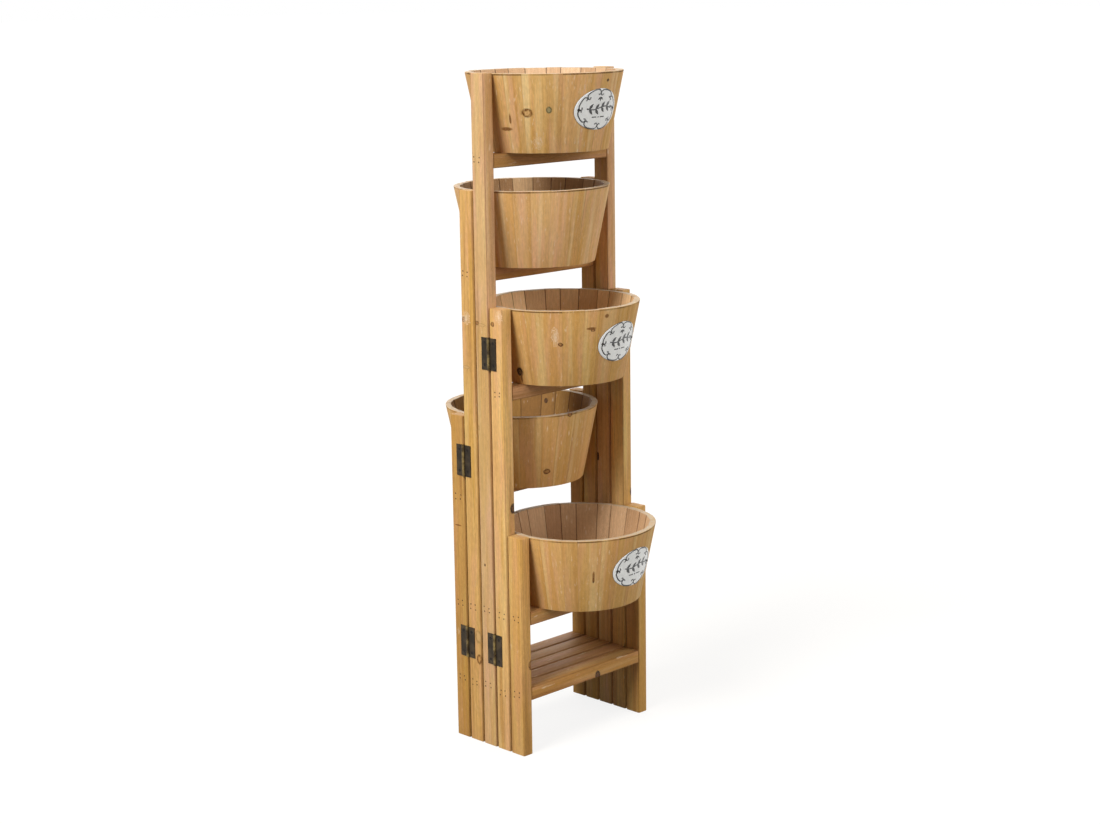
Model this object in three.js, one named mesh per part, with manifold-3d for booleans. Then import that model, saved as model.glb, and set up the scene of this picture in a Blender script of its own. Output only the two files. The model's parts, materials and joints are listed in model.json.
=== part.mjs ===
// Folding plant ladder stand: five ladder frames of different heights, hinged in a zigzag,
// each carrying a staved wooden tub between the tops of its two posts.
// Millimetres. X runs across the stand, Y from front to back, Z up. It is shown folded flat,
// frame 1 in front, with the origin on the floor under the middle of the stand.

import * as THREE from 'three';
import { mergeVertices } from 'three/addons/utils/BufferGeometryUtils.js';
import Module from 'manifold-3d';

const wasm = await Module();
wasm.setup();

// ---------- driving dimensions ----------

// frames
const lowestFrame = 400; // height of the lowest frame
const frameStep = 200; // each frame size is this much taller than the last
const frameSteps = [0, 2, 4, 3, 1]; // steps above the lowest, from the front frame to the back one
const standWidth = 324; // over the outer faces of the posts
const postWidth = 22; // across the stand
const postDepth = 33; // front to back
const postRound = 3; // rounding of a post's long edges
const endChamfer = 1; // chamfer round a post's two ends

// rungs
const rungHeight = 24;
const rungRecess = 0.5; // a rung's faces lie this far inside the posts' faces
const rungRound = 2; // rounding of a rung's long edges
const lowerRungHeight = 100; // floor to the underside of the lowest rungs

// tubs
const tubHeight = 136;
const tubTaper = 28; // rim radius less foot radius
const tubWall = 10; // thickness of a stave
const staveCount = 24;
const staveSway = 0.12; // how far a joint strays from even spacing, in stave widths
const staveGroove = 0.6; // depth of the groove at each joint
const rimDrop = 1; // the rim lies this far below the tops of the posts
const tubFloorThickness = 10;
const tubFloorSetback = 6; // ends of the staves to the underside of the floor
const tongueThickness = 6; // the floor's edge is thinned to this where it enters the staves
const crozeDepth = 3; // how far the tongue is let into the staves

// hinges
const hingeHeight = 57;
const leafWidth = 18; // pin axis to the outer edge of a leaf
const leafThickness = 1.2;
const leafCorner = 1.5;
const leafParting = 0.8; // air between the two leaves once the hinge is shut
const knuckleCount = 5;
const knuckleWall = 1.05;
const knuckleGap = 0.4; // air between neighbouring knuckles
const pinRadius = 1.4;
const pinHeadRadius = 2.3;
const pinHeadHeight = 0.8;
const screwHeadRadius = 3;
const screwShankRadius = 1.5;
const screwInset = 9; // end of a leaf to the middle of its nearest screw
const upperHingeDrop = 80; // top of the lower frame of a pair to the middle of its upper hinge
const lowerHingeHeight = 184; // floor to the middle of the lower hinges

// clearances
const fitGap = 0.2; // wooden pieces butted or nailed together, and hinge leaves on their posts
const seatGap = 0.3; // a tub on its rung and a floor in its croze
const shoulderGap = 0.8; // shoulder of a floor to the staves around it
const tubSideGap = 0.8; // rim of a tub to its own posts
const pinPlay = 0.35; // pin to the bore of a knuckle
const valleyGap = 0.6; // knuckle to the rounded edges of the posts that it lies between

// ---------- sizes worked out from these ----------

const frameHeights = frameSteps.map((steps) => lowestFrame + steps * frameStep);
const innerHalfWidth = standWidth / 2 - postWidth;
const knuckleRadius = pinRadius + pinPlay + knuckleWall;
const axisStandOff = leafThickness + fitGap + leafParting / 2; // post face to pin axis
const frameGap = valleyWidth(); // air between neighbouring frames of the folded stand
const framePitch = postDepth + frameGap;
const rungDepth = postDepth - 2 * rungRecess;
const tubRimRadius = innerHalfWidth - tubSideGap;
const tubFootHeights = frameHeights.map((height) => height - rimDrop - tubHeight);
const tubRungHeights = tubFootHeights.map((foot) => foot - seatGap - rungHeight);
const middleRungHeight = tubRungHeights[0]; // level with the rung under the lowest tub
const crozeRadius = tubInnerRadius(tubFloorSetback + tongueThickness / 2) + crozeDepth;
const widestStave = (2 * Math.PI * (1 + 2 * staveSway)) / staveCount; // angle that it takes up
const shoulderRadius =
  tubInnerRadius(tubFloorSetback + tongueThickness) * Math.cos(widestStave / 2) - shoulderGap;

const postFacets = 2; // half the steps in each rounded corner of a post
const rungFacets = 1;
const staveFacets = 3; // flats across the turned outside of a stave
const knuckleFacets = 10; // sides of knuckles and pins
const screwFacets = 8;
const crozeFacets = 40;

// The knuckles lie in the valley between two rounded post edges, which sets the frames apart.
function valleyWidth() {
  const reach = knuckleRadius + valleyGap + postRound;
  const rise = axisStandOff + postRound;
  return 2 * (Math.sqrt(reach * reach - rise * rise) - postRound);
}

// Radius of the corners between staves on the inside of a tub, at a height above its foot.
function tubInnerRadius(height) {
  return tubRimRadius - tubWall - tubTaper * (1 - height / tubHeight);
}

// ---------- materials ----------

const pine = (color) => new THREE.MeshStandardMaterial({ color, roughness: 0.65, metalness: 0 });
const postPines = [pine('#d8ae72'), pine('#cfa268'), pine('#dbb47c'), pine('#d2a66c'), pine('#c99c62')];
const rungPine = pine('#b98f5f');
const stavePine = pine('#c49a5e');
const floorPine = pine('#8e6e52');
const bronzedSteel = new THREE.MeshStandardMaterial({ color: '#3f3024', roughness: 0.5, metalness: 0.7 });
const pinBrass = new THREE.MeshStandardMaterial({ color: '#a08a55', roughness: 0.4, metalness: 0.8 });

// ---------- joining and cutting ----------

function toSolid(geometry) {
  const bare = geometry.index ? geometry.toNonIndexed() : geometry.clone();
  bare.deleteAttribute('normal');
  bare.deleteAttribute('uv');
  const merged = mergeVertices(bare, 1e-4);
  return new wasm.Manifold(
    new wasm.Mesh({
      numProp: 3,
      vertProperties: new Float32Array(merged.attributes.position.array),
      triVerts: new Uint32Array(merged.index.array),
    })
  );
}

function toGeometry(solid) {
  const mesh = solid.getMesh();
  const geometry = new THREE.BufferGeometry();
  geometry.setAttribute('position', new THREE.BufferAttribute(mesh.vertProperties, 3));
  geometry.setIndex(new THREE.BufferAttribute(mesh.triVerts, 1));
  geometry.computeVertexNormals();
  return geometry;
}

// An upright cylinder or cone whose foot is at the given height.
function uprightCylinder(footRadius, topRadius, height, foot, facets) {
  const geometry = new THREE.CylinderGeometry(topRadius, footRadius, height, facets);
  return geometry.rotateX(Math.PI / 2).translate(0, 0, foot + height / 2);
}

// ---------- frames ----------

// A board with rounded long edges, standing on Z = 0 with its middle on the Z axis.
function board(width, depth, length, round, chamfer, facets) {
  const x = width / 2 - chamfer;
  const y = depth / 2 - chamfer;
  const corner = round - chamfer;
  const outline = new THREE.Shape();
  outline.absarc(x - corner, y - corner, corner, 0, Math.PI / 2);
  outline.absarc(corner - x, y - corner, corner, Math.PI / 2, Math.PI);
  outline.absarc(corner - x, corner - y, corner, Math.PI, 1.5 * Math.PI);
  outline.absarc(x - corner, corner - y, corner, 1.5 * Math.PI, 2 * Math.PI);
  const geometry = new THREE.ExtrudeGeometry(outline, {
    depth: length - 2 * chamfer,
    curveSegments: facets,
    bevelEnabled: chamfer > 0,
    bevelSize: chamfer,
    bevelThickness: chamfer,
    bevelSegments: 1,
  });
  return geometry.translate(0, 0, chamfer);
}

function post(side, height, material) {
  const timber = board(postWidth, postDepth, height, postRound, endChamfer, postFacets);
  const mesh = new THREE.Mesh(timber, material);
  mesh.position.x = side * (standWidth - postWidth) / 2;
  return mesh;
}

// A rung is nailed between the inner faces of the two posts.
function rung(underside) {
  const length = 2 * (innerHalfWidth - fitGap);
  const timber = board(rungHeight, rungDepth, length, rungRound, 0, rungFacets);
  const mesh = new THREE.Mesh(timber, rungPine);
  mesh.rotation.y = Math.PI / 2;
  mesh.position.set(-length / 2, 0, underside + rungHeight / 2);
  return mesh;
}

// ---------- tubs ----------

// Angles of the joints between the staves. No two tubs are alike.
function staveJoints(tub) {
  const joints = [];
  for (let i = 0; i < staveCount; i++) {
    const stray = staveSway * Math.sin(2.4 * i + 1.7 * tub);
    joints.push((2 * Math.PI * (i + stray)) / staveCount);
  }
  return joints;
}

// Rim outline: turned round outside with a groove at each joint, flat staves inside.
function staveRing(joints) {
  const outside = [];
  const inside = [];
  const halfGroove = staveGroove / tubRimRadius;
  joints.forEach((joint, i) => {
    const next = i + 1 < joints.length ? joints[i + 1] : joints[0] + 2 * Math.PI;
    outside.push(onCircle(tubRimRadius - staveGroove, joint));
    for (let step = 0; step <= staveFacets; step++) {
      const start = joint + halfGroove;
      const angle = start + ((next - halfGroove - start) * step) / staveFacets;
      outside.push(onCircle(tubRimRadius, angle));
    }
    inside.push(onCircle(tubRimRadius - tubWall, joint));
  });
  const ring = new THREE.Shape(outside);
  ring.holes.push(new THREE.Path(inside.reverse()));
  return ring;
}

function onCircle(radius, angle) {
  return new THREE.Vector2(radius * Math.cos(angle), radius * Math.sin(angle));
}

// The ring is drawn out to the tub's height, drawn in towards its foot, and grooved for the floor.
function tubWallGeometry(tub) {
  const staves = staveRing(staveJoints(tub));
  const geometry = new THREE.ExtrudeGeometry(staves, { depth: tubHeight, bevelEnabled: false });
  const place = geometry.attributes.position;
  for (let i = 0; i < place.count; i++) {
    const radius = Math.hypot(place.getX(i), place.getY(i));
    const share = 1 - (tubTaper * (1 - place.getZ(i) / tubHeight)) / radius;
    place.setXY(i, place.getX(i) * share, place.getY(i) * share);
  }
  const crozeHeight = tongueThickness + 2 * seatGap;
  const crozeFoot = tubFloorSetback - seatGap;
  const croze = uprightCylinder(crozeRadius, crozeRadius, crozeHeight, crozeFoot, crozeFacets);
  return toGeometry(toSolid(geometry).subtract(toSolid(croze)));
}

// The floor stands up above its tongue with a shoulder all round, clear of the staves.
function tubFloorGeometry() {
  const section = [
    new THREE.Vector2(0, 0),
    new THREE.Vector2(crozeRadius - seatGap, 0),
    new THREE.Vector2(crozeRadius - seatGap, tongueThickness),
    new THREE.Vector2(shoulderRadius, tongueThickness),
    new THREE.Vector2(shoulderRadius, tubFloorThickness),
    new THREE.Vector2(0, tubFloorThickness),
  ];
  const floor = new THREE.LatheGeometry(section, crozeFacets);
  return floor.rotateX(Math.PI / 2).translate(0, 0, tubFloorSetback);
}

// ---------- hinges ----------

// Hinge geometry stands with its pin axis on Z, its middle at the origin and the posts behind it,
// on the side of -X. A leaf reaches towards +Y and owns the knuckles whose number is odd or even.

function slotFoot(slot) {
  return (slot / knuckleCount - 0.5) * hingeHeight;
}

// Foot and top of a knuckle: each leaves half the gap to its neighbour, and the end ones run out.
function knuckleSpan(slot) {
  const foot = slotFoot(slot) + (slot > 0 ? knuckleGap / 2 : 0);
  const top = slotFoot(slot + 1) - (slot < knuckleCount - 1 ? knuckleGap / 2 : 0);
  return { foot, top };
}

function leafOutline(ownSlots) {
  const half = hingeHeight / 2;
  const notch = knuckleRadius + knuckleGap;
  const outline = new THREE.Shape();
  outline.moveTo(notch, -half);
  outline.lineTo(leafWidth - leafCorner, -half);
  outline.absarc(leafWidth - leafCorner, leafCorner - half, leafCorner, -Math.PI / 2, 0);
  outline.absarc(leafWidth - leafCorner, half - leafCorner, leafCorner, 0, Math.PI / 2);
  outline.lineTo(notch, half);
  for (const slot of [...ownSlots].reverse()) {
    const { foot, top } = knuckleSpan(slot);
    outline.lineTo(notch, top);
    outline.lineTo(0, top);
    outline.lineTo(0, foot);
    outline.lineTo(notch, foot);
  }
  return outline;
}

function hingeLeaf(firstSlot) {
  const ownSlots = [];
  for (let slot = firstSlot; slot < knuckleCount; slot += 2) ownSlots.push(slot);
  const plate = new THREE.ExtrudeGeometry(leafOutline(ownSlots), {
    depth: leafThickness,
    curveSegments: 1,
    bevelEnabled: false,
  });
  const standing = new THREE.Matrix4().makeBasis(
    new THREE.Vector3(0, 1, 0),
    new THREE.Vector3(0, 0, 1),
    new THREE.Vector3(1, 0, 0)
  );
  plate.applyMatrix4(standing).translate(-leafParting / 2 - leafThickness, 0, 0);
  let leaf = toSolid(plate);
  for (const slot of ownSlots) {
    const { foot, top } = knuckleSpan(slot);
    const knuckle = uprightCylinder(knuckleRadius, knuckleRadius, top - foot, foot, knuckleFacets);
    leaf = leaf.add(toSolid(knuckle));
  }
  const boreRadius = pinRadius + pinPlay;
  const boreHeight = hingeHeight + 2 * leafThickness;
  const bore = uprightCylinder(boreRadius, boreRadius, boreHeight, -boreHeight / 2, knuckleFacets);
  leaf = leaf.subtract(toSolid(bore));
  for (const end of [-1, 1]) {
    leaf = leaf.subtract(toSolid(screwHole(end * (hingeHeight / 2 - screwInset))));
  }
  return toGeometry(leaf);
}

// A countersunk hole, wide at the outer face of the leaf.
function screwHole(height) {
  const cone = new THREE.CylinderGeometry(screwHeadRadius, screwShankRadius, leafThickness, screwFacets);
  const across = (knuckleRadius + knuckleGap + leafWidth) / 2;
  return cone.rotateZ(-Math.PI / 2).translate(-(leafParting + leafThickness) / 2, across, height);
}

function hingePin() {
  const headFoot = hingeHeight / 2 + fitGap;
  const head = [
    new THREE.Vector2(pinRadius, headFoot),
    new THREE.Vector2(pinHeadRadius, headFoot),
    new THREE.Vector2(pinHeadRadius, headFoot + pinHeadHeight / 2),
    new THREE.Vector2(0, headFoot + pinHeadHeight),
  ];
  const foot = head.map((point) => new THREE.Vector2(point.x, -point.y)).reverse();
  return new THREE.LatheGeometry([...foot, ...head], knuckleFacets).rotateX(Math.PI / 2);
}

// ---------- assembly ----------

const stand = new THREE.Group();

function add(parent, name, mesh) {
  mesh.name = name;
  parent.add(mesh);
}

const framePlace = (index) => (index - (frameHeights.length - 1) / 2) * framePitch;

frameHeights.forEach((height, index) => {
  const frame = new THREE.Group();
  frame.position.y = framePlace(index);
  stand.add(frame);
  const name = `frame${index + 1}`;
  add(frame, `${name}_left_post`, post(-1, height, postPines[index]));
  add(frame, `${name}_right_post`, post(1, height, postPines[index]));
  add(frame, `${name}_lower_rung`, rung(lowerRungHeight));
  if (index > 0) add(frame, `${name}_middle_rung`, rung(middleRungHeight));
  add(frame, `${name}_tub_rung`, rung(tubRungHeights[index]));
  const tub = new THREE.Group();
  tub.position.z = tubFootHeights[index];
  frame.add(tub);
  add(tub, `tub${index + 1}_wall`, new THREE.Mesh(tubWallGeometry(index), stavePine));
  add(tub, `tub${index + 1}_floor`, new THREE.Mesh(tubFloorGeometry(), floorPine));
});

// Pairs of frames are hinged at the right and the left by turns, so the stand opens in a zigzag.
for (let index = 0; index + 1 < frameHeights.length; index++) {
  const side = index % 2 === 0 ? 1 : -1;
  const lowerFrame = Math.min(frameHeights[index], frameHeights[index + 1]);
  const heights = { lower: lowerHingeHeight, upper: lowerFrame - upperHingeDrop };
  for (const [level, height] of Object.entries(heights)) {
    const hinge = new THREE.Group();
    hinge.position.set(
      side * (standWidth / 2 + axisStandOff),
      (framePlace(index) + framePlace(index + 1)) / 2,
      height
    );
    if (side < 0) hinge.rotation.z = Math.PI;
    stand.add(hinge);
    const name = `hinge${index + 1}${index + 2}_${level}`;
    const frontLeaf = new THREE.Mesh(hingeLeaf(0), bronzedSteel);
    const backLeaf = new THREE.Mesh(hingeLeaf(1), bronzedSteel);
    const turnedLeaf = side > 0 ? frontLeaf : backLeaf;
    turnedLeaf.rotation.x = Math.PI;
    add(hinge, `${name}_front_leaf`, frontLeaf);
    add(hinge, `${name}_back_leaf`, backLeaf);
    add(hinge, `${name}_pin`, new THREE.Mesh(hingePin(), pinBrass));
  }
}

export default stand;
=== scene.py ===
# Folding plant ladder stand: the finished looks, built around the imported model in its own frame.
# Metres. X runs across the stand, Y from front to back, Z up.
import json
import math
import random

import bmesh
import bpy
from mathutils import Matrix, Vector


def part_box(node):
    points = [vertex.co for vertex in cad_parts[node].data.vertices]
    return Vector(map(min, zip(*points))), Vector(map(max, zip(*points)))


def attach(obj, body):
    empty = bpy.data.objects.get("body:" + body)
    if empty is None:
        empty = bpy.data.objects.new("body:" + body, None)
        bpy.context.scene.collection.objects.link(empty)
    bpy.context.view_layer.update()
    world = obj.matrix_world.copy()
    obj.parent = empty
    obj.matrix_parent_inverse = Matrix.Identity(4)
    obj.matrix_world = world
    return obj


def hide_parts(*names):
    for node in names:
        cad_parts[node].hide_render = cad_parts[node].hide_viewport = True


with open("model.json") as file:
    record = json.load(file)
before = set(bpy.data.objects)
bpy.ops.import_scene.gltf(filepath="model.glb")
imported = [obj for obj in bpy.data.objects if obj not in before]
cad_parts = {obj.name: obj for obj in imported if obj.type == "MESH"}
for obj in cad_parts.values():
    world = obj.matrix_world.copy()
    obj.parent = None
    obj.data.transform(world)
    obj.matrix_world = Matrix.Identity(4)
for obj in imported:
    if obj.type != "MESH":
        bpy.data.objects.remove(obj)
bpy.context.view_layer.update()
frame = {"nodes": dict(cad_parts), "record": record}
bodyOf = {node: body for body, nodes in frame["record"]["behaviour"]["bodies"].items() for node in nodes}
frameNumbers = range(1, 6)
weldDistance = 1e-6
print("frame loaded:", len(frame["nodes"]), "nodes")

camera = {
    "target": (-0.0047, -0.0068, 0.5913),
    "azimuth": -44.885,  # degrees, seen from the front left
    "elevation": 11.761,
    "distance": 3.6477,
    "roll": -0.846,
    "focalPixels": 2024.3,
    "photoWidth": 1100,
    "sensorWidth": 36.0,  # millimetres
}


def addObject(name, data):
    holder = bpy.data.objects.new(name, data)
    bpy.context.scene.collection.objects.link(holder)
    return holder


def placeCamera():
    azimuth, elevation, roll = (math.radians(camera[key]) for key in ("azimuth", "elevation", "roll"))
    away = Vector((
        math.sin(azimuth) * math.cos(elevation),
        -math.cos(azimuth) * math.cos(elevation),
        math.sin(elevation),
    ))
    right = away.cross(Vector((0, 0, -1))).normalized()
    up = away.cross(right)
    turned = Matrix((right, up, away)).transposed() @ Matrix.Rotation(roll, 3, "Z")
    data = bpy.data.cameras.new("photoCamera")
    data.sensor_fit = "HORIZONTAL"
    data.sensor_width = camera["sensorWidth"]
    data.lens = camera["focalPixels"] / camera["photoWidth"] * camera["sensorWidth"]
    holder = addObject("photoCamera", data)
    place = Vector(camera["target"]) + away * camera["distance"]
    holder.matrix_world = Matrix.Translation(place) @ turned.to_4x4()
    bpy.context.scene.camera = holder


placeCamera()
print("camera placed")


def linear(hexCode):
    channels = [int(hexCode[i:i + 2], 16) / 255 for i in (1, 3, 5)]
    return tuple(c / 12.92 if c <= 0.04045 else ((c + 0.055) / 1.055) ** 2.4 for c in channels) + (1.0,)


# Adds a node with its settings and links. A node given as an input stands for its first output.
def addNode(tree, kind, settings=None, inputs=None):
    node = tree.nodes.new("ShaderNode" + kind)
    for name, value in (settings or {}).items():
        setattr(node, name, value)
    for name, value in (inputs or {}).items():
        if isinstance(value, bpy.types.Node):
            value = value.outputs[0]
        if isinstance(value, bpy.types.NodeSocket):
            tree.links.new(value, node.inputs[name])
        else:
            node.inputs[name].default_value = value
    return node


def newMaterial(name):
    material = bpy.data.materials.new(name)
    material.use_nodes = True
    material.node_tree.nodes.clear()
    return material, material.node_tree


eased, straight = "SMOOTHSTEP", "LINEAR"


# Lays one colour over another through a stencil, which is the product of its steps.
# A step is how it runs, what it reads, from where to where, and how much covers at each end.
def layOver(tree, under, over, steps, kind="MIX"):
    cover = 1.0
    for run, source, low, high, start, end in steps:
        step = addNode(
            tree, "MapRange", {"interpolation_type": run},
            {"Value": source, "From Min": low, "From Max": high, "To Min": start, "To Max": end},
        )
        cover = addNode(tree, "Math", {"operation": "MULTIPLY"}, {0: step, 1: cover})
    mixed = addNode(tree, "Mix", {"data_type": "RGBA", "blend_type": kind}, {0: cover, 6: under, 7: over})
    return mixed.outputs[2]


# A pattern gives the roughness at its dark and light parts; the bump and the rest of the look are added.
def finishMaterial(tree, colour, pattern, roughness, bump, extras):
    atDark, atLight = roughness
    rough = addNode(
        tree, "MapRange", {},
        {"Value": pattern, "From Min": 0.3, "From Max": 0.7, "To Min": atDark, "To Max": atLight},
    )
    relief = addNode(tree, "Bump", {}, bump)
    surface = addNode(
        tree, "BsdfPrincipled", {}, {"Base Color": colour, "Roughness": rough, "Normal": relief, **extras}
    )
    addNode(tree, "OutputMaterial", {}, {"Surface": surface})


# Growth rings run round a pith that lies beside each board, so long faces show straight or flaming
# grain and sawn ends show arcs. Every board is cut from its own place in the log.
pineGrain = {
    "ringWidth": 0.0058,  # real rings are about 3 mm; drawn coarser so that they show
    "yearScale": 0.37,  # how fast wide and narrow years follow each other, per ring
    "ringUneven": 2.2,
    "ringRise": (0.25, 0.92),  # the share of a ring over which it darkens, and over which it ends
    "ringFall": (0.92, 1.0),
    "pithNearest": (0.003, 0.026, 0.0),  # the wide face lies flat on the log, so it flames
    "pithReach": (0.034, 0.050, 9.0),
    "swayAmount": (0.016, 0.016, 0.0),
    "waverAmount": (0.0016, 0.0016, 0.0),
    "noises": {  # times in a metre, across both ways and along the board, then how detailed
        "sway": ((13.0, 13.0, 1.9), 1.5),
        "waver": ((60.0, 60.0, 11.0), 2.0),
        "fibre": ((560.0, 560.0, 17.0), 3.0),  # fibres about 2 mm wide, as coarse as the render needs
        "band": ((60.0, 60.0, 2.8), 2.0),  # bands of colour 17 mm wide and 360 mm long
        "patch": ((48.0, 48.0, 6.5), 2.5),  # pinker patches, 20 mm by 150 mm
        "cloud": ((14.0, 14.0, 7.0), 2.0),  # duller clouds, 70 mm by 140 mm
        "speck": ((330.0, 330.0, 110.0), 2.0),  # specks, 3 mm by 9 mm
        "ragged": ((270.0, 270.0, 150.0), 2.0),  # frayed outlines of knots, about 4 mm
    },
    "scuffDetail": 3.0,
    "knotSpacing": (16.0, 16.0, 11.0),  # strewn knots are 60 to 90 mm apart
    "knotBarred": 20.0,  # puts the ones that chance leaves out beyond reach
    "knotBendReach": (0.7, 3.4),
    "knotDepth": 0.85,  # how much of the way through a stave a knot is drawn out
    "knotRipple": (13.0, 0.16),  # rings inside a knot: how tight and how strong
    "pinkFrom": (0.46, 0.62),
    "paleFrom": (0.50, 0.66),
    "goldFrom": (0.50, 0.64),
    "streakFrom": (0.58, 0.70),
    "dullFrom": (0.45, 0.75),
    "dullDepth": 0.22,
    "edgeShadeFrom": (0.95, 1.06),  # share of the way from the middle of a board to its edge
    "edgeShadeWaver": 0.25,
    "narrowFrom": (0.82, 0.95),
    "rawBlend": 0.0006,
    "endFrom": (0.50, 0.80),  # how squarely a face looks along the grain
    "roughness": (0.56, 0.72),
}

# Heart colour, rim colour, how far the heart covers and where it starts to thin, half width of the
# rim, how ragged the outline is, and how many rings it pushes aside.
knotParts = ("heart", "rim", "cover", "solidTo", "rimReach", "ragged", "bend")
knotKinds = {
    kind: dict(zip(knotParts, values)) for kind, values in {
        "brown": ("#8C5C2E", "#54331A", 0.72, 0.70, 0.40, 1.3, 1.1),
        "dark": ("#4E3019", "#2A180C", 0.92, 0.70, 0.45, 0.9, 1.1),
        "ring": ("#B98648", "#6A4018", 0.60, 0.70, 0.50, 0.9, 1.1),
        "grey": ("#8F8660", "#5F5A3C", 0.85, 0.70, 0.40, 0.7, 1.1),
        "faded": ("#C9A26C", "#A98450", 0.60, 0.70, 0.40, 0.9, 1.1),
        "crack": ("#6E4420", "#8A5A2C", 0.85, 0.70, 0.60, 1.3, 0.0),
        "pale": ("#EAD2B2", "#E0BE98", 0.55, 0.0, 0.10, 1.6, 0.0),
    }.items()
}


# How far each point lies from every knot, in that knot's own radii: the strewn ones, then the shown ones.
def knotDistances(tree, look, knots, log, objectPlace):
    grain = pineGrain
    cells = addNode(tree, "Mapping", {}, {"Vector": log, "Scale": grain["knotSpacing"]})
    strewn = addNode(tree, "TexVoronoi", {"feature": "F1"}, {"Vector": cells, "Scale": 1.0})
    chance = addNode(tree, "SeparateColor", {}, {"Color": strewn.outputs["Color"]})
    small, large = look["knotSmall"], look["knotLarge"]
    reach = addNode(tree, "MapRange", {}, {"Value": chance.outputs[1], "To Min": small, "To Max": large})
    away = addNode(tree, "Math", {"operation": "DIVIDE"}, {0: strewn, 1: reach})
    barred = addNode(tree, "Math", {"operation": "GREATER_THAN"}, {0: chance, 1: look["knotShare"]})
    kept = addNode(
        tree, "Math", {"operation": "MULTIPLY_ADD"},
        {0: barred, 1: grain["knotBarred"], 2: away},
    )
    distances = [(kept, knotKinds["brown"])]
    for kind, radius, tall, at, *facing in knots:
        shift = addNode(tree, "VectorMath", {"operation": "SUBTRACT"}, {0: objectPlace, 1: at})
        if facing:  # a knot runs deep into a stave, so it shows whole on the slanting face
            depth = addNode(tree, "VectorMath", {"operation": "PROJECT"}, {0: shift, 1: facing[0]})
            shift = addNode(
                tree, "VectorMath", {"operation": "MULTIPLY_ADD"},
                {0: depth, 1: (-grain["knotDepth"],) * 3, 2: shift},
            )
        shares = (1 / radius, 1 / radius, 1 / (radius * tall))
        scaled = addNode(tree, "VectorMath", {"operation": "MULTIPLY"}, {0: shift, 1: shares})
        length = addNode(tree, "VectorMath", {"operation": "LENGTH"}, {0: scaled})
        distances.append((length.outputs["Value"], knotKinds[kind]))
    return distances


# The heart of a knot with its own rings, then the broken dark rim round it.
def drawKnot(tree, colour, outline, kind, ragged):
    tight, strong = pineGrain["knotRipple"]
    turns = addNode(tree, "Math", {"operation": "MULTIPLY"}, {0: outline, 1: tight})
    wave = addNode(tree, "Math", {"operation": "SINE"}, {0: turns})
    inside = 0.0
    for times, low, high, middle in ((1.0, kind["solidTo"], 1.05, kind["cover"]), (wave, 0.5, 1.0, strong)):
        step = addNode(
            tree, "MapRange", {"interpolation_type": eased},
            {"Value": outline, "From Min": low, "From Max": high, "To Min": middle, "To Max": 0.0},
        )
        inside = addNode(tree, "Math", {"operation": "MULTIPLY_ADD"}, {0: step, 1: times, 2: inside})
    colour = layOver(tree, colour, linear(kind["heart"]), [(straight, inside, 0.0, 1.0, 0.0, 1.0)])
    offRim = addNode(tree, "Math", {"operation": "SUBTRACT"}, {0: outline, 1: 0.98})
    fromRim = addNode(tree, "Math", {"operation": "ABSOLUTE"}, {0: offRim})
    steps = [(eased, fromRim, 0.05, kind["rimReach"], 1.0, 0.0), (eased, ragged, 0.35, 0.55, 0.45, 1.0)]
    return layOver(tree, colour, linear(kind["rim"]), steps)


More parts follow.
